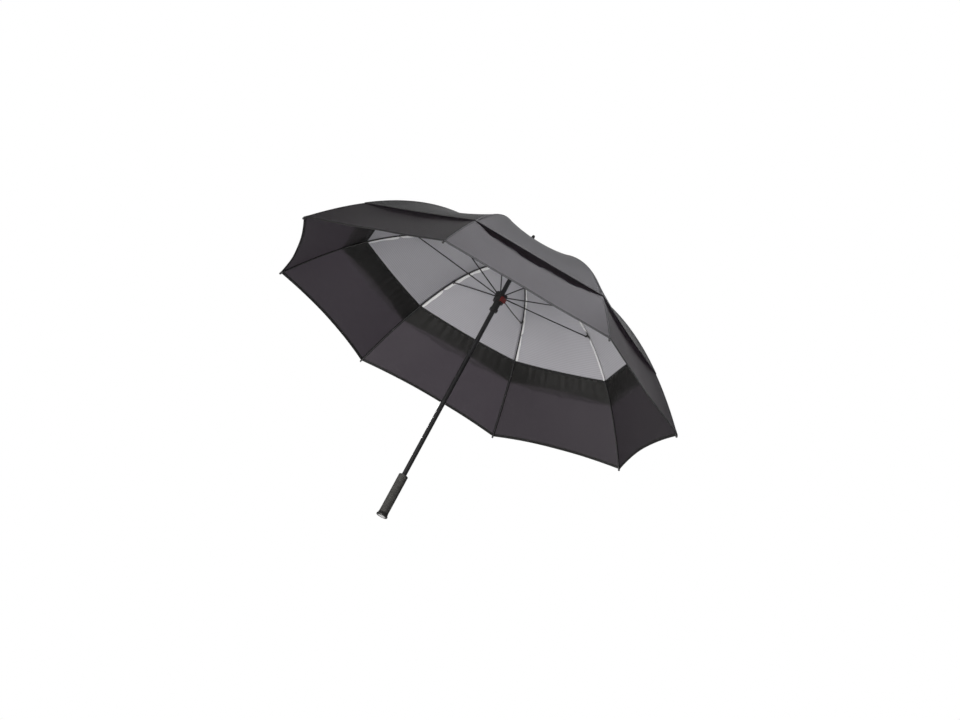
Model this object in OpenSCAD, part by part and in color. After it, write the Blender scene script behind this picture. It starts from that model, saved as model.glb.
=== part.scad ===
// Golf umbrella with eight ribs, a double vented canopy, a push-button runner and a straight grip.
// Frame: origin at the middle of the handle's end face, +Z up the shaft, rib 1 along +X, open.

/* [Canopy] */
// Radius of the open canopy at the rib ends
tip_radius = 650; // [560:5:720]
// Height of the rib ends above the handle's end face
tip_height = 556; // [520:2:620]
// Radius at the crown inside which the ribs are flat
flat_radius = 140; // [100:5:180]
// Radius where the mesh ends and the lower canopy begins
mesh_radius = 460; // [400:5:490]
// Radius of the upper cap's hem at the ribs
cap_radius = 516; // [500:2:560]
// How far the rim curves in between two rib ends
rim_scallop = 6; // [0:1:20]
// How far the cap's hem curves in between two ribs
cap_scallop = 8; // [0:1:16]
// How far the mesh and the lower canopy hang below the ribs where they meet, at mid-span
vent_sag = 9; // [8.5:0.5:14]
// How far the lower canopy hangs below the ribs at the rim, at mid-span
rim_sag = 8; // [0:1:12]
// How far the cap hangs below the ribs at its hem, at mid-span
cap_sag = 4; // [0:0.5:4]
// How much more the mesh hangs half way between the crown and its outer edge
mesh_hollow = 15.5; // [14:0.5:20]
// How much more the cap hangs half way between the crown and its hem
cap_hollow = 13; // [0:0.5:13.5]
// How much more the lower canopy hangs half way between its edges
canopy_hollow = 8; // [6:1:14]
// Thickness of the cloth and mesh solids
cloth_t = 0.8; // [0.5:0.1:1.2]

/* [Ribs and stretchers] */
// Height of the rib hinges
crown_height = 886; // [860:2:910]
// Diameter of a rib
rib_d = 4; // [3:0.5:5]
// Diameter of a stretcher
stretcher_d = 3.8; // [3:0.2:4.4]
// Radius where the stretchers meet the ribs
clip_radius = 329; // [300:1:350]
// Depth of the stretcher hinge below the rib's middle
clip_drop = 5.5; // [5:0.5:8]

/* [Shaft and ferrule] */
// Outer diameter of the shaft
shaft_d = 14; // [12:0.5:16]
// Wall thickness of the shaft tube
shaft_wall = 1.3; // [1:0.1:2]
// Height of the ferrule's point
ferrule_top = 979; // [950:1:1000]
// Diameter of the ferrule's straight shank
ferrule_d = 11; // [9:0.5:13]

/* [Runner] */
// Height of the stretcher hinges with the canopy open
runner_height = 755; // [740:1:770]
// Radius of the stretcher hinge ring
runner_pivot_radius = 15; // [14.5:0.5:18]
// Length of the sleeve below the hub
runner_sleeve = 23; // [18:1:40]

/* [Handle] */
// Length of the grip from the end face to its top
handle_length = 134; // [110:2:160]
// Diameter of the grip
grip_d = 28; // [24:0.5:30]
// Diameter of the flared end cap
end_cap_d = 34; // [33:1:40]

/* [Hidden] */
$fn = 64;

ribs = 8;
pitch = 360 / ribs;
shaft_r = shaft_d / 2;
rib_r = rib_d / 2;
eps = 0.01;

// Crown: hinge wire, eyelets and slots
notch_pivot_r = 10;
wire_r = 0.6;
wire_gap = 0.05;
eyelet_r = 2.5;
eyelet_w = 2.4;
slot_w = 3;
notch_r = 13.6;
notch_low = crown_height - 5.5;
blade_l = 10;
blade_h = 2.8;
rib_start = notch_pivot_r + blade_l;

// Rib line: flat near the crown, then a parabola down to the rib end
function rib_z(r) = crown_height
  - (crown_height - tip_height) * pow(max(0, r - flat_radius) / (tip_radius - flat_radius), 2);
function rib_slope(r) =
  -2 * (crown_height - tip_height) * max(0, r - flat_radius) / pow(tip_radius - flat_radius, 2);
function rib_normal(r) = let (s = rib_slope(r), l = sqrt(1 + s * s)) [-s / l, 1 / l];
// Point of a rib's meridian at radius r, raised by d along the outward normal: [radius, height]
function raised(r, d) = [r, rib_z(r)] + d * rib_normal(r);

// Stretcher hinge under the rib, and the stretcher's line
clip_point = raised(clip_radius, -clip_drop);
clip_half_w = 2.4;
stretcher_plane = 4.9;
stretcher_rise = clip_point[1] - runner_height;
stretcher_run = clip_point[0] - runner_pivot_radius;
stretcher_l = sqrt(pow(stretcher_rise, 2) + pow(stretcher_run, 2));
stretcher_tilt = atan2(stretcher_rise, stretcher_run);
splay_share = 0.55;

// Cloth layers, measured outwards from a rib's middle line
lower_layer = rib_r + 0.5;
cap_layer = lower_layer + cloth_t + 0.8;
panel_gap = 0.35;
crown_hole = notch_r + 2;
cap_seat_z = crown_height + cap_layer + cloth_t + 0.3;
rim_inset = 6;
fabric_radius = tip_radius - rim_inset;
canopy_sag = [vent_sag, canopy_hollow, rim_sag];

// Tip cap
tip_cap_r = 3.2;
tip_cap_l = 9;

// Runner
runner_bore_r = shaft_r + 0.25;
hub_r = 19;
hub_low = runner_height - 5;
hub_high = runner_height + 6;
button_z = runner_height - 13;
housing_low = button_z - 9;
housing_r = 16.5;
sleeve_r = 10.5;
collar_r = 12.5;
collar_h = 8;
runner_low = housing_low - runner_sleeve - collar_h;
button_angle = 101;
button_travel = 2;
plate_t = 2.4;

// Handle
grip_r = grip_d / 2;
end_cap_r = end_cap_d / 2;
disc_r = 11.5;
disc_t = 1.6;
end_cap_h = 12;
shaft_low = 8;
shaft_high = crown_height + 12;

black = [0.07, 0.07, 0.075];
charcoal = [0.23, 0.22, 0.24];

// Moves what is drawn in the X-Z plane of rib 1 to rib i
module at_rib(i) {
  rotate([0, 0, (i - 1) * pitch]) children();
}

// Closed tube of 3-D rings, each ring a list of points in order around it
module skin(rings) {
  n = len(rings[0]);
  m = len(rings);
  polyhedron(
    points = [for (ring = rings) each ring],
    faces = concat(
      [[for (k = [0:n - 1]) k]],
      [for (j = [0:m - 2]) for (k = [0:n - 1])
        let (a = j * n + k, b = j * n + (k + 1) % n) [a, a + n, b]],
      [for (j = [0:m - 2]) for (k = [0:n - 1])
        let (a = j * n + k, b = j * n + (k + 1) % n) [b, a + n, b + n]],
      [[for (k = [n - 1:-1:0]) (m - 1) * n + k]]
    )
  );
}

// Round ring of radius q about point [x, y, z], across a line that slopes at angle a in the X-Z plane
function ring(p, a, q, sides = 8) = [for (k = [0:sides - 1])
  let (t = 360 * (k + 0.5) / sides)
  p + q * [-sin(a) * cos(t), -sin(t), cos(a) * cos(t)]];

// A straight cylinder along Y, centred on [x, 0, z]
module cross_bar(x, z, r, l) {
  translate([x, 0, z]) rotate([90, 0, 0]) cylinder(r = r, h = l, center = true);
}

// The eight straight sides of a hinge wire bent round at radius r
module wire_ring(r, z, thickness) {
  side = 2 * r * tan(pitch / 2);
  for (i = [1:ribs]) at_rib(i) cross_bar(r, z, thickness, side + 0.4);
}

module shaft() {
  color(black) difference() {
    translate([0, 0, shaft_low]) cylinder(r = shaft_r, h = shaft_high - shaft_low);
    translate([0, 0, shaft_low - 1])
      cylinder(r = shaft_r - shaft_wall, h = shaft_high - shaft_low + 2);
  }
}

module top_notch() {
  color(black) difference() {
    translate([0, 0, notch_low]) cylinder(r = notch_r, h = cap_seat_z - notch_low);
    translate([0, 0, notch_low - 1]) cylinder(r = shaft_r, h = cap_seat_z - notch_low + 2);
    for (i = [1:ribs]) at_rib(i)
      translate([shaft_r + 0.25, -slot_w / 2, notch_low - 1])
        cube([notch_r, slot_w, cap_seat_z - notch_low - 0.6]);
    wire_ring(notch_pivot_r, crown_height, wire_r + wire_gap);
  }
}

module notch_wire() {
  color([0.6, 0.6, 0.62]) wire_ring(notch_pivot_r, crown_height, wire_r);
}

module ferrule() {
  flange_h = 3;
  shank_low = cap_seat_z + flange_h + 9;
  tip_h = 9;
  color(black) difference() {
    union() {
      translate([0, 0, cap_seat_z]) cylinder(r = 17, h = flange_h);
      translate([0, 0, cap_seat_z + flange_h]) cylinder(r1 = 14, r2 = 8.5, h = 9);
      translate([0, 0, shank_low])
        cylinder(r = ferrule_d / 2, h = ferrule_top - tip_h - shank_low);
      translate([0, 0, ferrule_top - tip_h])
        cylinder(r1 = ferrule_d / 2, r2 = ferrule_d / 2 - 2.2, h = tip_h);
    }
    translate([0, 0, cap_seat_z - 1])
      cylinder(r = shaft_r + eps, h = shaft_high - cap_seat_z + 1.2);
  }
}

module rib(i) {
  steps = 20;
  rod_end = tip_radius - 4;
  color(black) at_rib(i) {
    difference() {
      union() {
        cross_bar(notch_pivot_r, crown_height, eyelet_r, eyelet_w);
        translate([notch_pivot_r + 1.5, -eyelet_w / 2, crown_height - blade_h / 2])
          cube([blade_l - 1.5, eyelet_w, blade_h]);
      }
      cross_bar(notch_pivot_r, crown_height, wire_r + wire_gap, eyelet_w + 2);
    }
    skin([for (k = [0:steps])
      let (r = rib_start + (rod_end - rib_start) * k / steps)
      ring([r, 0, rib_z(r)], atan(rib_slope(r)), rib_r)]);
    rib_clip();
  }
}

// Lug under the rod that holds the stretcher's hinge pin
module rib_clip() {
  tilt = -atan(rib_slope(clip_radius));
  translate([clip_radius, 0, rib_z(clip_radius)]) rotate([0, tilt, 0]) {
    difference() {
      union() {
        translate([-6, -clip_half_w, -clip_drop])
          cube([12, 2 * clip_half_w, clip_drop - rib_r + 0.5]);
        translate([0, 0, -clip_drop]) rotate([90, 0, 0])
          cylinder(r = 2.6, h = 2 * clip_half_w, center = true);
      }
      translate([0, 0, -clip_drop]) rotate([90, 0, 0])
        cylinder(r = 0.9, h = 2 * clip_half_w + 2, center = true);
    }
  }
}

module tip_cap(i) {
  a = atan(rib_slope(tip_radius));
  color([0.3, 0.3, 0.31]) at_rib(i)
    translate([tip_radius, 0, tip_height]) rotate([0, 90 - a, 0])
      difference() {
        union() {
          translate([0, 0, -tip_cap_l]) cylinder(r1 = 2.45, r2 = tip_cap_r, h = tip_cap_l);
          sphere(r = tip_cap_r, $fn = 32);
        }
        translate([0, 0, -tip_cap_l - 1]) cylinder(r = rib_r + 0.12, h = tip_cap_l - 1);
      }
}

// Sideways offset of a stretcher at share s of its length: straight out of the hub, then beside the rib
function splay(s) = stretcher_plane * max(0, min(1, (s - 0.04) / splay_share));

module stretcher(i) {
  steps = 12;
  eye_w = 2.6;
  color(black) at_rib(i)
    translate([runner_pivot_radius, 0, runner_height]) rotate([0, -stretcher_tilt, 0]) {
      difference() {
        union() {
          cross_bar(0, 0, eyelet_r, eyelet_w);
          translate([1.5, -eyelet_w / 2, -blade_h / 2]) cube([blade_l - 1.5, eyelet_w, blade_h]);
        }
        cross_bar(0, 0, wire_r + wire_gap, eyelet_w + 2);
      }
      skin([for (k = [0:steps])
        let (x = blade_l + (stretcher_l - blade_l - 6) * k / steps)
        ring([x, splay(x / stretcher_l), 0], 0, stretcher_d / 2)]);
      translate([0, stretcher_plane, 0]) difference() {
        union() {
          cross_bar(stretcher_l, 0, 3, eye_w);
          translate([stretcher_l - 6, -eye_w / 2, -1.5]) cube([4, eye_w, 3]);
        }
        cross_bar(stretcher_l, 0, 0.9, eye_w + 2);
      }
    }
}

// Point of the cloth between rib i and the next: share w across, radius r at the ribs,
// layer d above the ribs' middle line, hanging lower by sag at mid-span
function cloth_point(i, w, r, d, sag) =
  let (
    q = raised(r, d - sag * 4 * w * (1 - w)),
    gap = panel_gap * (1 - 2 * w),
    a = (i - 1) * pitch,
    b = i * pitch,
    p0 = [q[0] * cos(a), q[0] * sin(a), q[1]] + gap * [-sin(a), cos(a), 0],
    p1 = [q[0] * cos(b), q[0] * sin(b), q[1]] + gap * [-sin(b), cos(b), 0]
  ) p0 * (1 - w) + p1 * w;

// How far cloth hangs at mid-span at share t of the way from its inner edge to its outer edge.
// sag holds its values at the two edges, and between them what is added half way
function hang(sag, t) = sag[0] * (1 - t) + sag[2] * t + sag[1] * 4 * t * (1 - t);

// Thin closed shell of cloth between rib i and the next, from radius r0 out to r1
module cloth(i, r0, r1, scallop, layer, sag, rows, columns) {
  grid = (rows + 1) * (columns + 1);
  wide = columns + 1;
  function at(j, k, up) =
    let (
      w = k / columns,
      r = r0 + (r1 - r0 - scallop * 4 * w * (1 - w)) * j / rows
    ) cloth_point(i, w, r, layer + up, hang(sag, (r - r0) / (r1 - r0)));
  function id(j, k, up) = up * grid + j * wide + k;
  points = [for (up = [0:1]) for (j = [0:rows]) for (k = [0:columns]) at(j, k, up * cloth_t)];
  quads = concat(
    [for (j = [0:rows - 1]) for (k = [0:columns - 1])
      [id(j, k, 1), id(j, k + 1, 1), id(j + 1, k + 1, 1), id(j + 1, k, 1)]],
    [for (j = [0:rows - 1]) for (k = [0:columns - 1])
      [id(j, k, 0), id(j + 1, k, 0), id(j + 1, k + 1, 0), id(j, k + 1, 0)]],
    [for (k = [0:columns - 1]) [id(0, k, 0), id(0, k + 1, 0), id(0, k + 1, 1), id(0, k, 1)]],
    [for (k = [0:columns - 1])
      [id(rows, k, 1), id(rows, k + 1, 1), id(rows, k + 1, 0), id(rows, k, 0)]],
    [for (j = [0:rows - 1]) [id(j, 0, 1), id(j + 1, 0, 1), id(j + 1, 0, 0), id(j, 0, 0)]],
    [for (j = [0:rows - 1])
      [id(j, columns, 0), id(j + 1, columns, 0), id(j + 1, columns, 1), id(j, columns, 1)]]
  );
  polyhedron(
    points = points,
    faces = [for (q = quads) each [[q[0], q[1], q[2]], [q[0], q[2], q[3]]]]
  );
}

module canopy_panel(i) {
  color(charcoal)
    cloth(i, mesh_radius, fabric_radius, rim_scallop, lower_layer, canopy_sag, 8, 8);
}

module mesh_panel(i) {
  color([0.55, 0.55, 0.57])
    cloth(i, crown_hole, mesh_radius - 0.5, 0, lower_layer, [0, mesh_hollow, vent_sag], 12, 8);
}

module cap_panel(i) {
  color(charcoal)
    cloth(i, crown_hole, cap_radius, cap_scallop, cap_layer, [0, cap_hollow, cap_sag], 12, 8);
}

module runner_body() {
  pocket = [2 * (shaft_r + 6), 10.4, plate_t + 0.6];
  button_window = [24, 18.6, 13.6];
  color(black) difference() {
    union() {
      translate([0, 0, hub_low]) cylinder(r = hub_r, h = hub_high - hub_low);
      translate([0, 0, housing_low]) cylinder(r = housing_r, h = hub_low - housing_low);
      translate([0, 0, runner_low]) cylinder(r = sleeve_r, h = housing_low - runner_low);
      translate([0, 0, runner_low]) cylinder(r = collar_r, h = collar_h);
    }
    translate([0, 0, runner_low - 1])
      cylinder(r = runner_bore_r, h = hub_high - runner_low + 2);
    for (i = [1:ribs]) at_rib(i)
      translate([runner_pivot_radius - 3.2, -slot_w / 2, hub_low + 1.4])
        cube([hub_r, slot_w, hub_high - hub_low]);
    wire_ring(runner_pivot_radius, runner_height, wire_r + wire_gap);
    rotate([0, 0, button_angle]) {
      translate([-pocket[0] / 2, -pocket[1] / 2 - 4, button_z - pocket[2] / 2])
        cube([pocket[0], pocket[1] + 8, pocket[2]]);
      translate([9.4, -button_window[1] / 2, button_z - button_window[2] / 2])
        cube(button_window);
    }
  }
}

module runner_wire() {
  color([0.6, 0.6, 0.62]) wire_ring(runner_pivot_radius, runner_height, wire_r);
}

// Button head outside, and the latch plate that runs round the shaft inside the runner
module runner_button() {
  head = [9.2, 18, 13];
  plate_w = 17.6;
  hole_r = shaft_r + 0.35;
  color([0.42, 0.07, 0.07]) rotate([0, 0, button_angle]) {
    difference() {
      union() {
        translate([-10.6, -plate_w / 2, button_z - plate_t / 2])
          cube([22.4, plate_w, plate_t]);
        translate([11.8, -head[1] / 2, button_z - head[2] / 2]) cube(head);
      }
      translate([0, 0, button_z - plate_t]) cylinder(r = hole_r, h = 2 * plate_t);
      translate([button_travel, 0, button_z - plate_t]) cylinder(r = hole_r, h = 2 * plate_t);
      translate([0, -hole_r, button_z - plate_t])
        cube([button_travel, 2 * hole_r, 2 * plate_t]);
    }
  }
}

// Small coil spring behind the latch plate
module button_spring() {
  turns = 3;
  steps = 42;
  coil_r = 0.85;
  free_l = 1.9;
  color([0.7, 0.7, 0.72]) rotate([0, 0, button_angle])
    translate([-12.85, 0, button_z])
      skin([for (k = [0:steps])
        let (
          t = 360 * turns * k / steps,
          p = [free_l * k / steps + 0.15, coil_r * cos(t), coil_r * sin(t)]
        )
        [for (s = [0:5]) p + 0.15 * [sin(60 * s), cos(t) * cos(60 * s), sin(t) * cos(60 * s)]]]);
}

module handle_grip() {
  groove_z = [for (k = [0:2]) handle_length - 10 - 4 * k];
  color([0.23, 0.23, 0.22]) difference() {
    rotate_extrude() polygon([
      [shaft_r, end_cap_h + eps],
      [grip_r, end_cap_h + eps],
      [grip_r, handle_length - 1.5],
      [grip_r - 1.5, handle_length],
      [shaft_r, handle_length]
    ]);
    for (z = groove_z) translate([0, 0, z]) rotate_extrude()
      translate([grip_r, 0]) circle(r = 0.6, $fn = 24);
  }
}

module handle_end_cap() {
  color(black) rotate_extrude() polygon([
    [0, disc_t + 0.02],
    [disc_r + 0.1, disc_t + 0.02],
    [disc_r + 0.1, 0],
    [end_cap_r - 2, 0],
    [end_cap_r, 2],
    [end_cap_r, 5],
    [grip_r + 0.6, end_cap_h - 4],
    [grip_r + 0.6, end_cap_h],
    [shaft_r + eps, end_cap_h],
    [shaft_r + eps, shaft_low - eps],
    [0, shaft_low - eps]
  ]);
}

module end_disc() {
  color([0.8, 0.8, 0.8]) cylinder(r = disc_r, h = disc_t);
}

shaft();
top_notch();
notch_wire();
ferrule();
handle_grip();
handle_end_cap();
end_disc();
runner_body();
runner_wire();
runner_button();
button_spring();
for (i = [1:ribs]) {
  rib(i);
  tip_cap(i);
  stretcher(i);
  canopy_panel(i);
  mesh_panel(i);
  cap_panel(i);
}
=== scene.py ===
"""Golf umbrella: the looks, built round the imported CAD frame. All sizes are in metres."""

import math

import bmesh
import bpy
from mathutils import Matrix, Vector


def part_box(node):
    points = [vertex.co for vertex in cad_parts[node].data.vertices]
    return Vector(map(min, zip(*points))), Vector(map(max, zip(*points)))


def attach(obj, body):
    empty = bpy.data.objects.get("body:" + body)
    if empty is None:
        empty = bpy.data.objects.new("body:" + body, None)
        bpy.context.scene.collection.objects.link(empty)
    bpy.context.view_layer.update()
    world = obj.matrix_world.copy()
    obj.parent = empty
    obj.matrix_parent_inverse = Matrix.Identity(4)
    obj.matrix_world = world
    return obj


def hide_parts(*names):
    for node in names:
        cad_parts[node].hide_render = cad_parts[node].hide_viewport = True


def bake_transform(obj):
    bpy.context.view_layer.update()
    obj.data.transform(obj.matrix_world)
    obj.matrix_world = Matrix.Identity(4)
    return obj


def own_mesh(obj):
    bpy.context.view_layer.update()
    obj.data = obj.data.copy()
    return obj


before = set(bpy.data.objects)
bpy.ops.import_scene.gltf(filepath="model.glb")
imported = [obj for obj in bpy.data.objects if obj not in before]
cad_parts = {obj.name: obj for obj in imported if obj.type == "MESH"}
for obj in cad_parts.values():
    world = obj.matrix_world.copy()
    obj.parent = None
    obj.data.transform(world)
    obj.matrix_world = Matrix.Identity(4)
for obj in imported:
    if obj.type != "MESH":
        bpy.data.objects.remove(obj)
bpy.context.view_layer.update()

# Dimensions of the CAD model, which the visual shapes share
RIBS = 8
PITCH = math.tau / RIBS
# A rib is level out to FLAT_RADIUS, and then follows a parabola down to its end
CROWN_HEIGHT = 0.886
FLAT_RADIUS = 0.140
TIP_RADIUS = 0.650
TIP_HEIGHT = 0.556
# Where the mesh, the cap and the clip of a stretcher are along a rib
MESH_RADIUS = 0.460
CAP_RADIUS = 0.516
CAP_SCALLOP = 0.008
CLIP_RADIUS = 0.329
CLIP_DROP = 0.0055
# How far cloth hangs at mid-span: at its edges, and how much more half way between them
VENT_SAG = 0.009
RIM_SAG = 0.008
CAP_SAG = 0.004
MESH_HOLLOW = 0.0155
CAP_HOLLOW = 0.013
CANOPY_HOLLOW = 0.008
# The hinges at the crown and on the runner
NOTCH_PIVOT_R = 0.010
RUNNER_HEIGHT = 0.755
RUNNER_PIVOT_R = 0.015
ROD_RADIUS = 0.002
STRETCHER_RADIUS = 0.0019

# Dimensions of the visual shapes only
CLOTH_RADIUS = 0.648
CROWN_HOLE = 0.0156
RIM_SCALLOP = 0.010
CLOTH_T = 0.0004
PANEL_GAP = 0.0003
# Layers above a rib's middle line
LOWER_LAYER = 0.0026
CAP_LAYER = 0.0043
# The lower canopy's pleats, folds, tuck under the cap and lift where it is taut
PLEAT_REACH = 0.085
PLEAT = 0.0006
FOLD = 0.0007
TUCK = 0.013
TAUT_LIFT = 0.003
# How loose each lower panel is: 1 at the panel whose slit stands open
SLACK = (0.35, 1.0, 0.5, 0.4, 0.4, 0.45, 0.4, 0.4)
# The hem's lift over a tip cap: how much, where it starts, how soon it is whole, how wide it is
TIP_LIFT = 0.0012
TIP_LIFT_START = 0.632
TIP_LIFT_RAMP = 0.008
TIP_LIFT_WIDTH = 0.012
# Seams along a rib: the width of each half, and how thick the cap's is
SEAM_HALF = 0.003
INNER_SEAM_HALF = 0.004
SEAM_T = 0.0003
# The binding's section in mm, as (beside, above) the rod's middle: lying loose, and folded round it
FLAP_BESIDE = ((-0.4, 2.0), (-3.8, 1.6), (-7.0, 1.2), (-10.0, 0.8))
FLAP_ROUND = ((-1.0, 2.0), (-4.0, 0.5), (-3.2, -2.9), (1.0, -3.2))
FLAP_T = 0.0003
FLAP_START = 0.030
FLAP_END = MESH_RADIUS - 0.004
ROUND_RIB = 5
# Where thread ties the cloth to a rib
TIE_RADII = (0.150, 0.262, 0.375, 0.455, 0.550)
# Rods: where a rib's rod starts and ends, and how a stretcher's swings out beside its rib
ROD_START = 0.020
ROD_END = 0.646
BLADE_L = 0.010
STRETCHER_PLANE = 0.0049
SPLAY_START = 0.04
SPLAY_SHARE = 0.55
# The flat blade by each hinge, as low and high corners from the hinge
BLADE = ((0.0017, -0.0012, -0.0014), (BLADE_L + 0.001, 0.0012, 0.0014))
# The grip: grooves down from its top, the smooth lengths at its ends and the pitch of its knurls
GRIP_GROOVES = (0.0085, 0.0125, 0.0165)
GRIP_PLAIN_TOP = 0.021
GRIP_PLAIN_FOOT = 0.003
KNURL_PITCH = 0.0052
KNURL_DEPTH = 0.0009


def clamp(x):
    """x held between 0 and 1."""
    return min(1.0, max(0.0, x))


# ---------------------------------------------------------------- camera


def look(eye, forward, up, lens):
    """Adds the scene's camera, at eye and looking along forward."""
    data = bpy.data.cameras.new("camera")
    data.lens = lens
    data.sensor_width = 36
    data.clip_end = 100
    camera = bpy.data.objects.new("camera", data)
    back = -Vector(forward).normalized()
    right = Vector(up).cross(back).normalized()
    camera.matrix_world = Matrix.Translation(eye) @ Matrix(
        (right, back.cross(right), back)
    ).transposed().to_4x4()
    bpy.context.scene.collection.objects.link(camera)
    bpy.context.scene.camera = camera


look(
    eye=(2.0308, 3.9058, -1.0418),
    forward=(-0.44048, -0.83105, 0.33962),
    up=(0.55974, 0.04154, 0.82763),
    lens=60.29,
)


# ---------------------------------------------------------------- lines of the canopy


def rib_height(r):
    """Height of a rib's middle line at radius r."""
    drop = max(0.0, r - FLAT_RADIUS) / (TIP_RADIUS - FLAT_RADIUS)
    return CROWN_HEIGHT - (CROWN_HEIGHT - TIP_HEIGHT) * drop * drop


def rib_slope(r):
    """How steeply a rib falls at radius r."""
    reach = TIP_RADIUS - FLAT_RADIUS
    return -2 * (CROWN_HEIGHT - TIP_HEIGHT) * max(0.0, r - FLAT_RADIUS) / reach**2


def raised(r, d):
    """Radius and height of a rib's meridian at r, moved out by d along its normal."""
    s = rib_slope(r)
    n = math.hypot(1, s)
    return r - d * s / n, rib_height(r) + d / n


def along_rib(i, r, d=0.0, y=0.0):
    """The point beside rib i at radius r, d above its middle line and y to its left."""
    a = (i - 1) * PITCH
    q, z = raised(r, d)
    return Vector((q * math.cos(a) - y * math.sin(a), q * math.sin(a) + y * math.cos(a), z))


def cloth_point(i, w, r, d, sag, gap=PANEL_GAP):
    """The point of panel i at share w across, radius r and layer d, hanging by sag at mid-span."""
    d -= sag * 4 * w * (1 - w)
    side = gap * (1 - 2 * w)
    return along_rib(i, r, d, side).lerp(along_rib(i + 1, r, d, side), w)


def beside_rib(i, r, y, d, sag):
    """The point of the cloth y to the left of rib i, at layer d."""
    w = abs(y) / chord(r)
    if y >= 0:
        return cloth_point(i, w, r, d, sag, gap=0)
    return cloth_point((i - 2) % RIBS + 1, 1 - w, r, d, sag, gap=0)


def hang(r, r0, r1, inner, hollow, outer):
    """How far cloth hangs at mid-span: inner at r0, outer at r1, and hollow more half way."""
    t = (r - r0) / (r1 - r0)
    return inner * (1 - t) + outer * t + hollow * 4 * t * (1 - t)


def lower_sag(r):
    """How far the mesh and the lower canopy hang at mid-span."""
    if r < MESH_RADIUS:
        return hang(r, CROWN_HOLE, MESH_RADIUS, 0, MESH_HOLLOW, VENT_SAG)
    return hang(r, MESH_RADIUS, CLOTH_RADIUS, VENT_SAG, CANOPY_HOLLOW, RIM_SAG)


def cap_sag(r):
    """How far the cap hangs at mid-span."""
    return hang(r, CROWN_HOLE, CAP_RADIUS, 0, CAP_HOLLOW, CAP_SAG)


def tuck(i, w, r):
    """How far a lower panel dips under the cap's hem, most at the panel with the most slack."""
    slack = SLACK[i - 1]
    uneven = 0.004 * math.sin(21 * w + 2.3 * i) + 0.002 * math.sin(47 * w + i)
    brink = CAP_RADIUS + (0.005 + uneven) * slack
    under = clamp((brink - r) / (brink - MESH_RADIUS))
    clear = clamp(5.5 * w * (1 - w) - 0.1)
    return TUCK * slack * math.sin(math.pi * under**0.6) * clear


def wrinkle(i, w, r):
    """Height of the lower canopy's pleats, folds, tuck and lifts, with no pleats at the ribs."""
    near_vent = max(0.0, 1 - (r - MESH_RADIUS) / PLEAT_REACH)
    off_rib = clamp(12 * w * (1 - w) - 0.2)
    pleats = math.sin(88 * w + 1.7 * i) + 0.8 * math.sin(53 * w + 2.9 * i + 20 * r)
    folds = math.sin(9 * w + 0.8 * i + 14 * r) + 0.5 * math.sin(17 * w - 23 * r + i)
    small = off_rib * (PLEAT * near_vent * pleats + FOLD * folds)
    out = (r - MESH_RADIUS) / (CLOTH_RADIUS - MESH_RADIUS)
    taut = TAUT_LIFT * (1 - SLACK[i - 1]) * math.sin(math.pi * out) * 4 * w * (1 - w)
    beside = min(w, 1 - w) * chord(r)
    at_end = clamp((r - TIP_LIFT_START) / TIP_LIFT_RAMP)
    over_tip = TIP_LIFT * at_end * max(0.0, 1 - beside / TIP_LIFT_WIDTH)
    return small - tuck(i, w, r) + taut + over_tip


def chord(r):
    """Straight distance between two neighbouring ribs at radius r."""
    return 2 * r * math.sin(PITCH / 2)


# ---------------------------------------------------------------- meshes


def add(name, points, faces, material, smooth=True, uvs=None):
    """A mesh object with one material. uvs holds one pair for each point."""
    mesh = bpy.data.meshes.new(name)
    mesh.from_pydata([tuple(p) for p in points], [], faces)
    if uvs:
        layer = mesh.uv_layers.new(name="cloth")
        for loop in mesh.loops:
            layer.data[loop.index].uv = uvs[loop.vertex_index]
    mesh.polygons.foreach_set("use_smooth", [smooth] * len(mesh.polygons))
    mesh.materials.append(material)
    mesh.update()
    made = bpy.data.objects.new(name, mesh)
    bpy.context.scene.collection.objects.link(made)
    return made


def grid_faces(rows, columns, start=0, closed=False):
    """Faces of a grid of rows by columns cells; closed joins the last column to the first."""
    wide = columns if closed else columns + 1
    faces = []
    for j in range(rows):
        for k in range(columns):
            a = start + j * wide + k
            b = start + j * wide + (k + 1) % wide
            faces.append((a, b, b + wide, a + wide))
    return faces


def tube(path, radius, sides=12):
    """Points and faces of a closed round tube along a path of vectors."""
    points = []
    last = len(path) - 1
    side = Vector((0, 0, 1))
    for k, p in enumerate(path):
        ahead = (path[min(k + 1, last)] - path[max(k - 1, 0)]).normalized()
        side = (side - ahead * side.dot(ahead)).normalized()
        other = ahead.cross(side)
        q = radius(k / last) if callable(radius) else radius
        for n in range(sides):
            t = math.tau * n / sides
            points.append(p + q * (math.cos(t) * side + math.sin(t) * other))
    faces = grid_faces(last, sides, closed=True)
    faces.append(tuple(reversed(range(sides))))
    faces.append(tuple(range(last * sides, (last + 1) * sides)))
    return points, faces


def lathe(profile, turn=None, segments=64):
    """Points and faces of a closed profile of (radius, height) turned round Z. turn moves the points."""
    points = []
    n = len(profile)
    for k in range(segments):
        t = math.tau * k / segments
        for r, z in profile:
            points.append(Vector((r * math.cos(t), r * math.sin(t), z)))
    faces = []
    for k in range(segments):
        for j in range(n):
            a, b = k * n, ((k + 1) % segments) * n
            c = (j + 1) % n
            faces.append((a + j, b + j, b + c, a + c))
    if turn:
        points = [turn @ p for p in points]
    return points, faces


def box(low, high, turn, cut=0.0003):
    """Points and faces of a box with its edges cut back, turned into place."""
    low, high = Vector(low), Vector(high)
    inner = [(low[a] + cut, high[a] - cut) for a in range(3)]
    points = []
    for axis in range(3):
        u, v = (axis + 1) % 3, (axis + 2) % 3
        for value in (low[axis], high[axis]):
            for a, b in ((0, 0), (1, 0), (1, 1), (0, 1)):
                p = [0, 0, 0]
                p[axis], p[u], p[v] = value, inner[u][a], inner[v][b]
                points.append(turn @ Vector(p))
    return hull(points)


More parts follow.
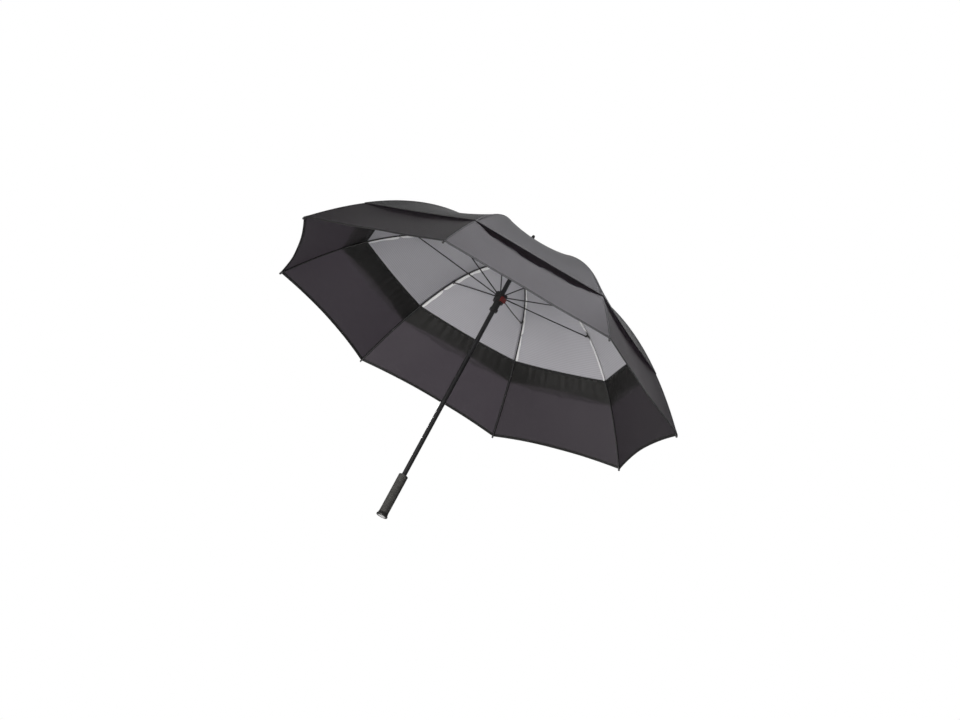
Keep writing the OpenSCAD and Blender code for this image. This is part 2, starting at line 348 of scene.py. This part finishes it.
def hull(points):
    """Points and faces of the convex hull of some points."""
    work = bmesh.new()
    for p in points:
        work.verts.new(p)
    bmesh.ops.convex_hull(work, input=work.verts[:])
    loose = [v for v in work.verts if not v.link_faces]
    bmesh.ops.delete(work, geom=loose, context="VERTS")
    bmesh.ops.dissolve_limit(work, angle_limit=0.02, verts=work.verts[:], edges=work.edges[:])
    work.verts.index_update()
    out = [v.co.copy() for v in work.verts], [tuple(v.index for v in f.verts) for f in work.faces]
    work.free()
    return out


def joined(*shapes):
    """Several (points, faces) as one."""
    points, faces = [], []
    for p, f in shapes:
        start = len(points)
        points += p
        faces += [tuple(start + n for n in face) for face in f]
    return points, faces


def sharpen(piece, degrees=40):
    """Keeps edges sharper than this many degrees crisp under smooth shading."""
    mesh = piece.data
    work = bmesh.new()
    work.from_mesh(mesh)
    for e in work.edges:
        if len(e.link_faces) == 2 and e.calc_face_angle(0) > math.radians(degrees):
            e.smooth = False
    work.to_mesh(mesh)
    work.free()
    return piece


# ---------------------------------------------------------------- materials


class Look:
    """A Principled material and short ways to add nodes to it."""

    def __init__(self, name, colour, roughness=0.5, metallic=0.0, **sockets):
        self.material = bpy.data.materials.new(name)
        self.material.use_nodes = True
        self.tree = self.material.node_tree
        self.shader = self.tree.nodes["Principled BSDF"]
        self.set("Base Color", (*colour, 1))
        self.set("Roughness", roughness)
        self.set("Metallic", metallic)
        for key, value in sockets.items():
            self.set(key.replace("_", " "), value)
        self.colour = colour

    def set(self, socket, value):
        self.shader.inputs[socket].default_value = value

    def node(self, kind, **inputs):
        made = self.tree.nodes.new(kind)
        for key, value in inputs.items():
            made.inputs[key].default_value = value
        return made

    def link(self, a, b):
        self.tree.links.new(a, b)

    def place(self, uv=False, scale=(1, 1, 1)):
        """Coordinates on the piece, in metres times scale."""
        at = self.node("ShaderNodeTexCoord")
        move = self.node("ShaderNodeMapping", Scale=scale)
        self.link(at.outputs["UV" if uv else "Object"], move.inputs["Vector"])
        return move.outputs["Vector"]

    def noise(self, place, scale, detail=3.0, roughness=0.55):
        n = self.node("ShaderNodeTexNoise", Scale=scale, Detail=detail, Roughness=roughness)
        self.link(place, n.inputs["Vector"])
        return n.outputs["Fac"]

    def wave(self, place, scale, direction="X", distortion=0.0):
        w = self.node("ShaderNodeTexWave", Scale=scale, Distortion=distortion)
        w.bands_direction = direction
        self.link(place, w.inputs["Vector"])
        return w.outputs["Fac"]

    def ramp(self, value, low, high, start=0.3, end=0.7):
        """value as a colour from low at start to high at end."""
        r = self.node("ShaderNodeValToRGB")
        r.color_ramp.elements[0].position = start
        r.color_ramp.elements[1].position = end
        r.color_ramp.elements[0].color = (*low, 1)
        r.color_ramp.elements[1].color = (*high, 1)
        self.link(value, r.inputs["Fac"])
        return r.outputs["Color"]

    def math(self, kind, a, b):
        m = self.node("ShaderNodeMath")
        m.operation = kind
        for n, x in enumerate((a, b)):
            if isinstance(x, (int, float)):
                m.inputs[n].default_value = x
            else:
                self.link(x, m.inputs[n])
        return m.outputs["Value"]

    def bump(self, height, strength, distance):
        b = self.node("ShaderNodeBump", Strength=strength, Distance=distance)
        self.link(height, b.inputs["Height"])
        self.link(b.outputs["Normal"], self.shader.inputs["Normal"])

    def colour_by(self, value, low=0.85, high=1.15, start=0.3, end=0.7):
        """Base colour that wanders between low and high times its own."""
        dark = [c * low for c in self.colour]
        light = [min(1, c * high) for c in self.colour]
        self.link(self.ramp(value, dark, light, start, end), self.shader.inputs["Base Color"])

    def rough_by(self, value, low, high):
        m = self.node("ShaderNodeMapRange")
        m.inputs["To Min"].default_value = low
        m.inputs["To Max"].default_value = high
        self.link(value, m.inputs["Value"])
        self.link(m.outputs["Result"], self.shader.inputs["Roughness"])

    def glow_through(self, share, colour):
        """Lets some light through from the far side, as thin cloth does."""
        through = self.node("ShaderNodeBsdfTranslucent", Color=(*colour, 1))
        mix = self.node("ShaderNodeMixShader", Fac=share)
        out = next(n for n in self.tree.nodes if n.type == "OUTPUT_MATERIAL")
        self.link(self.shader.outputs["BSDF"], mix.inputs[1])
        self.link(through.outputs["BSDF"], mix.inputs[2])
        self.link(mix.outputs["Shader"], out.inputs["Surface"])


def woven_nylon(name, colour, through, tint, shine=0.4):
    """Fine plain-woven nylon: crossed threads, faint slubs and soft creases."""
    m = Look(name, colour, roughness=0.45, Specular_IOR_Level=shine)
    weave_at = m.place(uv=True)
    warp = m.wave(weave_at, 420, "X")
    weft = m.wave(weave_at, 420, "Y")
    weave = m.math("MULTIPLY", warp, weft)
    creases = m.noise(m.place(scale=(1, 1, 1)), 14, 5, 0.6)
    cloud = m.noise(m.place(), 5, 3, 0.5)
    height = m.math("ADD", m.math("MULTIPLY", weave, 0.12), m.math("MULTIPLY", creases, 1.0))
    m.bump(height, 0.35, 0.003)
    m.colour_by(m.math("ADD", m.math("MULTIPLY", cloud, 0.8), m.math("MULTIPLY", weave, 0.25)), 0.8, 1.2)
    m.rough_by(cloud, 0.4, 0.52)
    m.glow_through(through, tint)
    return m.material


def knitted_mesh(name, colour):
    """Light net with fine lines across the panel and small dark openings."""
    m = Look(name, colour, roughness=0.75, Specular_IOR_Level=0.25, Sheen_Weight=0.2)
    at = m.place(uv=True)
    across = m.wave(at, 60, "Y", 0.4)
    fine = m.wave(at, 260, "X")
    cells = m.math("MULTIPLY", fine, m.wave(at, 260, "Y"))
    cloud = m.noise(m.place(), 9, 4, 0.6)
    mixed = m.math("ADD", m.math("MULTIPLY", across, 0.55), m.math("MULTIPLY", cells, 0.3))
    mixed = m.math("ADD", mixed, m.math("MULTIPLY", cloud, 0.25))
    m.colour_by(mixed, 0.82, 1.12, 0.15, 0.85)
    m.bump(m.math("ADD", across, m.math("MULTIPLY", cells, 0.6)), 0.5, 0.0006)
    m.glow_through(0.15, colour)
    return m.material


def tape(name, colour, lines=160, sheen=0.2, roughness=0.7, shine=0.5):
    """Narrow woven tape with ribs across it."""
    m = Look(name, colour, roughness, Sheen_Weight=sheen, Specular_IOR_Level=shine)
    at = m.place(uv=True)
    ribs = m.wave(at, lines, "Y")
    cloud = m.noise(m.place(), 60)
    m.colour_by(m.math("ADD", m.math("MULTIPLY", ribs, 0.5), m.math("MULTIPLY", cloud, 0.5)), 0.8, 1.15)
    m.bump(ribs, 0.5, 0.0004)
    return m.material


def satin_black(name, colour, roughness=0.35, metallic=0.0, grain=140):
    """Satin moulded or painted surface with faint mottling and a little rub wear."""
    m = Look(name, colour, roughness, metallic, Specular_IOR_Level=0.5)
    fine = m.noise(m.place(), grain * 6, 4, 0.6)
    cloud = m.noise(m.place(), grain, 3, 0.5)
    m.colour_by(cloud, 0.8, 1.3)
    m.rough_by(cloud, roughness - 0.07, roughness + 0.12)
    m.bump(fine, 0.12, 0.0002)
    return m.material


def drawn_fibre(name, colour):
    """Pultruded fibreglass: long faint streaks under a satin coat."""
    m = Look(name, colour, roughness=0.3, Specular_IOR_Level=0.5, Coat_Weight=0.25, Coat_Roughness=0.2)
    streaks = m.noise(m.place(scale=(900, 900, 12)), 1.0, 3, 0.6)
    m.colour_by(streaks, 0.75, 1.35)
    m.rough_by(streaks, 0.26, 0.42)
    m.bump(streaks, 0.08, 0.0002)
    return m.material


def brushed_metal(name, colour, roughness=0.32):
    """Drawn wire or turned metal, with faint streaks round it."""
    m = Look(name, colour, roughness, 1.0)
    turned = m.noise(m.place(scale=(40, 40, 900)), 6, 3, 0.6)
    m.rough_by(turned, roughness - 0.08, roughness + 0.12)
    m.colour_by(turned, 0.9, 1.06)
    m.bump(turned, 0.06, 0.0001)
    return m.material


def pale_disc(name):
    """The pale satin disc in the handle's end."""
    m = Look(name, (0.8, 0.8, 0.8), 0.4)
    grain = m.noise(m.place(scale=(1, 1, 1)), 1500, 3, 0.6)
    m.colour_by(grain, 0.94, 1.05)
    m.rough_by(grain, 0.32, 0.46)
    m.bump(grain, 0.1, 0.0001)
    return m.material


def rubber_grip(name):
    """Dull dark rubber with a fine grain and a little dust."""
    m = Look(name, (0.05, 0.049, 0.047), 0.62, Specular_IOR_Level=0.4)
    grain = m.noise(m.place(), 1400, 4, 0.65)
    dust = m.noise(m.place(), 90, 4, 0.6)
    m.colour_by(dust, 0.75, 1.35)
    m.rough_by(dust, 0.55, 0.75)
    m.bump(grain, 0.25, 0.0002)
    return m.material


def red_plastic(name):
    """Dark red moulded plastic."""
    m = Look(name, (0.16, 0.018, 0.016), 0.35, Coat_Weight=0.3)
    cloud = m.noise(m.place(), 420, 3, 0.6)
    m.colour_by(cloud, 0.85, 1.2)
    m.rough_by(cloud, 0.3, 0.45)
    m.bump(m.noise(m.place(), 2500, 2), 0.1, 0.0001)
    return m.material


CANOPY = woven_nylon("canopy_nylon", (0.014, 0.014, 0.013), 0.26, (0.69, 0.62, 0.70))
CAP = woven_nylon("cap_nylon", (0.014, 0.014, 0.015), 0.2, (0.45, 0.43, 0.45), 0.28)
MESH = knitted_mesh("mesh_net", (0.52, 0.515, 0.555))
HEM = tape("hem_tape", (0.014, 0.014, 0.014), sheen=0.0, roughness=0.55, shine=0.32)
BINDING = tape("pale_binding", (0.88, 0.88, 0.90))
THREAD = tape("tie_thread", (0.05, 0.05, 0.05))
ROD = drawn_fibre("rod_fibreglass", (0.018, 0.018, 0.019))
SHAFT = drawn_fibre("shaft_fibreglass", (0.016, 0.016, 0.017))
STEEL_ARM = satin_black("stretcher_paint", (0.018, 0.018, 0.019), 0.3, 0.0)
NYLON_PART = satin_black("moulded_nylon", (0.016, 0.016, 0.016), 0.42)
CAP_PLASTIC = satin_black("end_cap_plastic", (0.022, 0.022, 0.022), 0.4)
TIP_PLASTIC = satin_black("tip_plastic", (0.05, 0.05, 0.052), 0.4)
WIRE = brushed_metal("wire_steel", (0.55, 0.55, 0.57))
RIVET = brushed_metal("rivet_steel", (0.42, 0.42, 0.44), 0.4)
DISC = pale_disc("disc_silver")
GRIP = rubber_grip("grip_rubber")
RED = red_plastic("button_plastic")


def paint(node, material):
    """Gives a CAD node's own mesh a material."""
    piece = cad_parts[node]
    piece.data.materials.clear()
    piece.data.materials.append(material)


# ---------------------------------------------------------------- cloth


def fold(piece):
    """Bakes a piece's placement into its mesh and returns it."""
    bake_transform(piece)
    return piece


def thicken(piece, thickness):
    """Gives a sheet its thickness, outward from its lower face."""
    solid = piece.modifiers.new("thickness", "SOLIDIFY")
    solid.thickness = thickness
    solid.offset = 1
    solid.use_even_offset = True
    return piece


def sheet_of(name, i, r0, r1, scallop, layer, sag, material, rows, columns, extra=None):
    """One panel of cloth as a curved grid, from r0 out to r1, spanning between its ribs."""
    points, shares, uvs = [], [], []
    for j in range(rows + 1):
        for k in range(columns + 1):
            w = k / columns
            r = r0 + (r1 - r0 - scallop * 4 * w * (1 - w)) * j / rows
            d = layer + (extra(i, w, r) if extra else 0)
            points.append(cloth_point(i, w, r, d, sag(r)))
            shares.append(w)
            uvs.append((w * chord(r1), r))
    faces = [f[::-1] for f in grid_faces(rows, columns)]
    piece = add(name, points, faces, material, uvs=uvs)
    thicken(piece, CLOTH_T)
    return fold(piece)


def edge_band(name, i, r_edge, width, scallop, layer, sag, material, columns, thick=0.0009, extra=None):
    """A hem turned over the edge of a panel: a closed flat band that follows it."""
    around = ((width, -0.5), (0, -0.5), (0, 0.5), (width, 0.5))
    points, shares, uvs = [], [], []
    for k in range(columns + 1):
        w = k / columns
        edge = r_edge - scallop * 4 * w * (1 - w)
        for back, up in around:
            out = 0.0006 if back == 0 else 0
            r = edge - back
            d = layer + CLOTH_T / 2 + up * thick + (extra(i, w, edge) if extra else 0)
            points.append(cloth_point(i, w, r + out, d, sag(edge)))
            shares.append(w)
            uvs.append((back + up, w * chord(edge)))
    faces = grid_faces(columns, 4, closed=True)
    faces += [(3, 2, 1, 0), tuple(columns * 4 + n for n in range(4))]
    piece = add(name, points, faces, material, smooth=False, uvs=uvs)
    return fold(piece)


def side_seams(name, i, r0, r1, half, low, high, sag, rows=50, ridge=0.0003):
    """The halves of two rib seams that lie on panel i, from layer low to high."""
    points, faces, shares, uvs = [], [], [], []
    for end in (0, 1):
        start = len(points)
        for j in range(rows + 1):
            r = r0 + (r1 - r0) * j / rows
            for d, order in ((low, (0, 0.5, 1)), (high, (1, 0.5, 0))):
                for y in order:
                    w = y * half / chord(r)
                    w = 1 - w if end else w
                    arch = ridge * (1 - y * y) if d == high else 0
                    points.append(cloth_point(i, w, r, d + arch, sag(r), gap=0.00005))
                    shares.append(w)
                    uvs.append((y * half, r))
        ring = grid_faces(rows, 6, start, closed=True)
        ring.append(tuple(start + k for k in reversed(range(6))))
        ring.append(tuple(start + rows * 6 + k for k in range(6)))
        faces += [f[::-1] for f in ring] if end else ring
    return fold(add(name, points, faces, HEM, smooth=False, uvs=uvs))


def panel(i):
    """The mesh, the lower canopy and the cap between rib i and the next, with their hems."""
    net = sheet_of(
        f"mesh_net_{i}", i, CROWN_HOLE, MESH_RADIUS, 0, LOWER_LAYER, lower_sag, MESH, 60, 32
    )
    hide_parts(f"mesh_panel_{i}")

    seam = edge_band(
        f"mesh_seam_{i}", i, MESH_RADIUS + 0.003, 0.006, 0, LOWER_LAYER, lower_sag, HEM, 32, 0.0014
    )
    hem = edge_band(
        f"rim_hem_{i}", i, CLOTH_RADIUS, 0.005, RIM_SCALLOP, LOWER_LAYER, lower_sag, HEM, 40,
        extra=wrinkle,
    )
    lower = sheet_of(
        f"canopy_cloth_{i}", i, MESH_RADIUS, CLOTH_RADIUS, RIM_SCALLOP, LOWER_LAYER, lower_sag,
        CANOPY, 46, 96, extra=wrinkle,
    )
    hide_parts(f"canopy_panel_{i}")

    cap_hem = edge_band(
        f"cap_hem_{i}", i, CAP_RADIUS, 0.006, CAP_SCALLOP, CAP_LAYER, cap_sag, HEM, 40
    )
    cap = sheet_of(
        f"cap_cloth_{i}", i, CROWN_HOLE, CAP_RADIUS, CAP_SCALLOP, CAP_LAYER, cap_sag, CAP, 60, 40
    )
    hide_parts(f"cap_panel_{i}")
    over = side_seams(
        f"rim_seam_{i}", i, CAP_RADIUS - 0.002, CLOTH_RADIUS, SEAM_HALF,
        LOWER_LAYER + CLOTH_T, LOWER_LAYER + CLOTH_T + 0.0004, lower_sag, 20,
    )
    top = side_seams(
        f"cap_seam_{i}", i, CROWN_HOLE + 0.002, CAP_RADIUS, SEAM_HALF,
        CAP_LAYER + CLOTH_T, CAP_LAYER + CLOTH_T + SEAM_T, cap_sag,
    )
    inner = side_seams(
        f"inner_seam_{i}", i, MESH_RADIUS + 0.004, CLOTH_RADIUS - 0.008, INNER_SEAM_HALF,
        LOWER_LAYER - 0.00022, LOWER_LAYER - 0.00004, lower_sag, 30, ridge=0,
    )


def binding(i):
    """The pale raw edge of the seam: a loose flap beside the rod, folded round it at one rib."""
    rows = 110
    n = len(FLAP_BESIDE)
    points, uvs = [], []
    for j in range(rows + 1):
        r = FLAP_START + (FLAP_END - FLAP_START) * j / rows
        pinch = 1 - 0.7 * math.exp(-(((r - 0.375) / 0.004) ** 2))
        wide = (1 + 0.10 * math.sin(61 * r + 2 * i) + 0.06 * math.sin(143 * r + i)) * pinch
        turned = (1 - math.exp(-(((r - CLIP_RADIUS) / 0.013) ** 4))) if i == ROUND_RIB else 0
        section = [
            Vector((a[0] * wide, a[1])).lerp(Vector(b), turned) / 1000
            for a, b in zip(FLAP_BESIDE, FLAP_ROUND)
        ]
        ring = list(section)
        for k in reversed(range(n)):
            along = section[min(k + 1, n - 1)] - section[max(k - 1, 0)]
            ring.append(section[k] + FLAP_T * Vector((along.y, -along.x)).normalized())
        for k, (y, d) in enumerate(ring):
            points.append(beside_rib(i, r, y, d, lower_sag(r)))
            uvs.append((0.003 * min(k, 2 * n - 1 - k), r))
    faces = grid_faces(rows, 2 * n, closed=True)
    faces += [tuple(reversed(range(2 * n))), tuple(rows * 2 * n + k for k in range(2 * n))]
    flap = add(f"binding_{i}", points, faces, BINDING, smooth=False, uvs=uvs)
    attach(flap, f"rib_{i}")


def rib_trim(i):
    """The pale binding and the ties that hold the cloth to the rib."""
    binding(i)
    loops = []
    for r in TIE_RADII:
        a = math.atan(rib_slope(r))
        turn = (
            Matrix.Rotation((i - 1) * PITCH, 4, "Z")
            @ Matrix.Translation((r, 0, rib_height(r)))
            @ Matrix.Rotation(math.pi / 2 - a, 4, "Y")
        )
        ring = [
            (ROD_RADIUS + 0.00045 * (1 + math.cos(t)), 0.0016 * math.sin(t))
            for t in (math.tau * k / 8 for k in range(8))
        ]
        loops.append(lathe(ring, turn, 16))
    tie = add(f"ties_{i}", *joined(*loops), THREAD)
    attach(tie, f"rib_{i}")


# ---------------------------------------------------------------- frame pieces


def eyelet(turn, radius=0.0025, hole=0.00065, width=0.0024):
    """A flat ring whose hole runs along Y, at the turned origin."""
    cut = 0.0003
    half = width / 2
    profile = [
        (hole, -half), (radius - cut, -half), (radius, -half + cut),
        (radius, half - cut), (radius - cut, half), (hole, half),
    ]
    lie = Matrix.Rotation(math.pi / 2, 4, "X")
    return lathe(profile, turn @ lie, 32)


def rib_rod(i):
    """The rod with its crown eyelet and the lug that its stretcher hinges on."""
    turn = Matrix.Rotation((i - 1) * PITCH, 4, "Z")
    steps = 60
    path = [
        along_rib(i, ROD_START + (ROD_END - ROD_START) * k / steps) for k in range(steps + 1)
    ]
    at_crown = turn @ Matrix.Translation((NOTCH_PIVOT_R, 0, CROWN_HEIGHT))
    blade = box(*BLADE, at_crown)
    tilt = -math.atan(rib_slope(CLIP_RADIUS))
    at_clip = (
        turn
        @ Matrix.Translation((CLIP_RADIUS, 0, rib_height(CLIP_RADIUS)))
        @ Matrix.Rotation(tilt, 4, "Y")
    )
    collar = [
        (0.0019, -0.006), (0.0025, -0.006), (0.0028, -0.0055),
        (0.0028, 0.0055), (0.0025, 0.006), (0.0019, 0.006),
    ]
    saddle = lathe(collar, at_clip @ Matrix.Rotation(math.pi / 2, 4, "Y"), 24)
    lug = box((-0.004, -0.0024, -CLIP_DROP), (0.004, 0.0024, -0.0019), at_clip, 0.0005)
    ear = eyelet(at_clip @ Matrix.Translation((0, 0, -CLIP_DROP)), 0.0026, 0.0009, 0.0048)
    shapes = [tube(path, ROD_RADIUS), eyelet(at_crown), blade, saddle, lug, ear]
    rod = sharpen(add(f"rib_rod_{i}", *joined(*shapes), ROD))
    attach(rod, f"rib_{i}")
    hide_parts(f"rib_{i}")


def stretcher_arm(i):
    """The arm from the runner to the rib: an eye at each end and a splayed round rod."""
    slope = rib_slope(CLIP_RADIUS)
    n = math.hypot(1, slope)
    clip = (CLIP_RADIUS + CLIP_DROP * slope / n, rib_height(CLIP_RADIUS) - CLIP_DROP / n)
    rise, run = clip[1] - RUNNER_HEIGHT, clip[0] - RUNNER_PIVOT_R
    length = math.hypot(rise, run)
    at_hub = (
        Matrix.Rotation((i - 1) * PITCH, 4, "Z")
        @ Matrix.Translation((RUNNER_PIVOT_R, 0, RUNNER_HEIGHT))
        @ Matrix.Rotation(-math.atan2(rise, run), 4, "Y")
    )
    steps = 40
    path = []
    for k in range(steps + 1):
        x = BLADE_L - 0.001 + (length - BLADE_L - 0.004) * k / steps
        splay = STRETCHER_PLANE * clamp((x / length - SPLAY_START) / SPLAY_SHARE)
        path.append(at_hub @ Vector((x, splay, 0)))
    blade = box(*BLADE, at_hub)
    at_eye = at_hub @ Matrix.Translation((length, STRETCHER_PLANE, 0))
    neck = box((-0.007, -0.0013, -0.0015), (-0.0022, 0.0013, 0.0015), at_eye)
    eye = eyelet(at_eye, 0.003, 0.0009, 0.0026)
    shapes = [tube(path, STRETCHER_RADIUS), eyelet(at_hub), blade, neck, eye]
    arm = sharpen(add(f"stretcher_arm_{i}", *joined(*shapes), STEEL_ARM))
    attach(arm, f"stretcher_{i}")
    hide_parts(f"stretcher_{i}")
    # The rivet's head outside the eye, and its shank into the rib's lug
    head = [
        (0.0, -0.0074), (0.0008, -0.0074), (0.0008, 0.0014), (0.0019, 0.0014),
        (0.0018, 0.0019), (0.0011, 0.0023), (0.0, 0.0024),
    ]
    lie = at_eye @ Matrix.Rotation(-math.pi / 2, 4, "X")
    rivet = sharpen(add(f"clip_rivet_{i}", *lathe(head, lie, 20), RIVET))
    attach(rivet, f"stretcher_{i}")


def grip():
    """The knurled rubber grip: raised diamonds between smooth ends, and grooves near the top."""
    low, high = (corner.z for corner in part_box("handle_grip"))
    radius = (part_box("handle_grip")[1].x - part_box("handle_grip")[0].x) / 2
    around, diamonds = 200, 20
    rows = 210
    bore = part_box("shaft")[1].x
    points = []
    for j in range(rows + 1):
        z = low + (high - low) * j / rows
        from_top = high - z
        for k in range(around):
            t = math.tau * k / around
            u = diamonds * t
            v = math.tau * (z - low) / KNURL_PITCH
            pattern = abs(math.sin((u + v) / 2)) * abs(math.sin((u - v) / 2))
            inside = min(from_top - GRIP_PLAIN_TOP, z - low - GRIP_PLAIN_FOOT)
            knurled = clamp(inside / 0.002)
            r = radius - KNURL_DEPTH * (1 - pattern**0.5) * knurled
            for groove in GRIP_GROOVES:
                r -= 0.0007 * math.exp(-(((from_top - groove) / 0.0006) ** 2))
            r -= 0.0015 * max(0.0, 1 - from_top / 0.0015) ** 2
            r -= 0.0006 * max(0.0, 1 - (z - low) / 0.0012)
            points.append(Vector((r * math.cos(t), r * math.sin(t), z)))
    faces = grid_faces(rows, around, closed=True)
    for z in (high, low):
        for k in range(around):
            t = math.tau * k / around
            points.append(Vector((bore * math.cos(t), bore * math.sin(t), z)))
    top, outer = (rows + 1) * around, rows * around
    for k in range(around):
        n = (k + 1) % around
        faces.append((outer + k, outer + n, top + n, top + k))
        faces.append((n, k, top + around + k, top + around + n))
        faces.append((top + k, top + n, top + around + n, top + around + k))
    sleeve = add("knurled_grip", points, faces, GRIP)
    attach(sleeve, "root")
    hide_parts("handle_grip")


def arc(cx, cz, r, start, end, steps=5):
    """Points of an arc in a (radius, height) profile, angles in degrees."""
    out = []
    for k in range(steps + 1):
        t = math.radians(start + (end - start) * k / steps)
        out.append((cx + r * math.cos(t), cz + r * math.sin(t)))
    return out


def end_cap():
    """The flared end cap with rounded edges, and the pale disc let into its face."""
    low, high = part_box("handle_end_cap")
    flare = high.x
    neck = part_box("handle_grip")[1].x + 0.0006
    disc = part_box("end_disc")[1].x
    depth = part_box("end_disc")[1].z
    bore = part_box("shaft")[1].x
    outline = [(0, depth), (disc + 0.0003, depth), (disc + 0.0003, 0.0004), (disc + 0.0007, 0)]
    outline += arc(flare - 0.002, 0.002, 0.002, -90, 0)
    outline += arc(flare - 0.0012, 0.0040, 0.0012, 0, 60)
    outline += [(flare - 0.0014, 0.0054), (neck + 0.0006, 0.0062)]
    outline += arc(neck - 0.0008, high.z - 0.0008, 0.0008, 0, 90, 3)
    outline += [(bore, high.z), (bore, 0.008), (0, 0.008)]
    body = sharpen(add("flared_end_cap", *lathe(outline, segments=96), CAP_PLASTIC))
    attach(body, "root")
    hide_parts("handle_end_cap")
    face = [(0, 0.0002), (disc - 0.0035, 0.0002), (disc - 0.0031, 0.0005), (disc - 0.0026, 0.0002)]
    face += [(disc - 0.0006, 0.0), (disc, 0.0005), (disc, depth), (0, depth)]
    plate = sharpen(add("silver_disc", *lathe(face, segments=96), DISC))
    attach(plate, "root")
    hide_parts("end_disc")


def ferrule_piece():
    """The ferrule: flange on the cap's cloth, fluted cone, ringed shank and rounded point."""
    low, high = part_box("ferrule")
    flange = high.x
    shank = 0.0055
    foot = low.z + 0.012
    outline = [(0.00705, low.z), (flange - 0.0005, low.z), (flange, low.z + 0.0005)]
    outline += [(flange, low.z + 0.0022), (flange - 0.0008, low.z + 0.003)]
    outline += [(0.0139, low.z + 0.0032), (0.0112, low.z + 0.0072), (0.0088, foot)]
    outline += [(shank, foot + 0.0004), (shank, foot + 0.004)]
    for k in range(3):
        z = foot + 0.005 + 0.003 * k
        outline += [(shank, z), (shank - 0.0005, z + 0.0004)]
        outline += [(shank - 0.0005, z + 0.001), (shank, z + 0.0014)]
    outline += [(shank, high.z - 0.010), (shank - 0.0006, high.z - 0.0092)]
    outline += [(shank - 0.0006, high.z - 0.0082), (shank - 0.0001, high.z - 0.0076)]
    outline += [(shank - 0.0016, high.z - 0.0016)]
    outline += arc(shank - 0.0032, high.z - 0.0018, 0.0018, 20, 90)
    outline += [(0, high.z), (0, low.z + 0.008), (0.00705, low.z + 0.0075)]
    body = sharpen(add("ferrule_shell", *lathe(outline, segments=64), NYLON_PART), 35)
    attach(body, "root")
    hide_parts("ferrule")


def latch_spring():
    """The coil at the far end of the latch plate, which closes up when the button is pressed."""
    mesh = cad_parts["button_spring"].data
    coil = add(
        "latch_spring", [v.co.copy() for v in mesh.vertices],
        [tuple(f.vertices) for f in mesh.polygons], WIRE,
    )
    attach(coil, "runner")
    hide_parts("button_spring")
    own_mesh(coil)


def plain_nodes():
    """Gives a material to each CAD node whose own shape is kept."""
    paint("shaft", SHAFT)
    paint("top_notch", NYLON_PART)
    paint("notch_wire", WIRE)
    paint("runner_body", NYLON_PART)
    paint("runner_wire", WIRE)
    paint("runner_button", RED)
    for i in range(1, RIBS + 1):
        paint(f"tip_cap_{i}", TIP_PLASTIC)


for number in range(1, RIBS + 1):
    rib_rod(number)
    stretcher_arm(number)
for number in range(1, RIBS + 1):
    panel(number)
    rib_trim(number)
grip()
end_cap()
ferrule_piece()
latch_spring()
plain_nodes()


# ---------------------------------------------------------------- floor and light


def floor():
    """A pale floor well below the umbrella."""
    m = Look("floor_paint", (0.86, 0.86, 0.86), 0.8)
    m.colour_by(m.noise(m.place(), 0.7, 3), 0.98, 1.02)
    size = 30.0
    low = -1.9
    ground = add(
        "floor", [(-size, -size, low), (size, -size, low), (size, size, low), (-size, size, low)],
        [(0, 1, 2, 3)], m.material,
    )


def area_light(name, direction, distance, size, power, colour):
    """A soft square light in a direction from the umbrella's middle, facing it."""
    centre = Vector((0, 0, 0.6))
    data = bpy.data.lights.new(name, "AREA")
    data.shape = "SQUARE"
    data.size = size
    data.energy = power
    data.color = colour
    lamp = bpy.data.objects.new(name, data)
    way = Vector(direction).normalized()
    lamp.location = centre + way * distance
    lamp.rotation_euler = (-way).to_track_quat("-Z", "Y").to_euler()
    lamp.visible_camera = False
    bpy.context.scene.collection.objects.link(lamp)


def surroundings(toward, away):
    """A white backdrop in one direction that fades to a grey studio in the opposite one."""
    world = bpy.data.worlds.new("studio")
    world.use_nodes = True
    tree = world.node_tree
    at = tree.nodes.new("ShaderNodeTexCoord")
    dot = tree.nodes.new("ShaderNodeVectorMath")
    dot.operation = "DOT_PRODUCT"
    dot.inputs[1].default_value = Vector(toward).normalized()
    fade = tree.nodes.new("ShaderNodeMapRange")
    fade.interpolation_type = "SMOOTHSTEP"
    for key, value in (("From Min", 0.8), ("From Max", 0.935), ("To Min", away), ("To Max", 1.0)):
        fade.inputs[key].default_value = value
    tree.links.new(at.outputs["Generated"], dot.inputs[0])
    tree.links.new(dot.outputs["Value"], fade.inputs["Value"])
    tree.links.new(fade.outputs["Result"], tree.nodes["Background"].inputs["Color"])
    bpy.context.scene.world = world


floor()
surroundings((-0.44, -0.83, 0.34), 0.14)
area_light("key", (-0.05, 0.0, 1.0), 3.0, 1.5, 53, (0.96, 0.94, 1.0))
area_light("fill", (1.0, 0.55, -0.42), 4.5, 2.5, 180, (1.0, 0.985, 0.95))
area_light("back", (-0.38, -0.92, 0.3), 3.5, 0.8, 50, (1.0, 1.0, 1.0))
bpy.context.scene.view_settings.view_transform = "Standard"
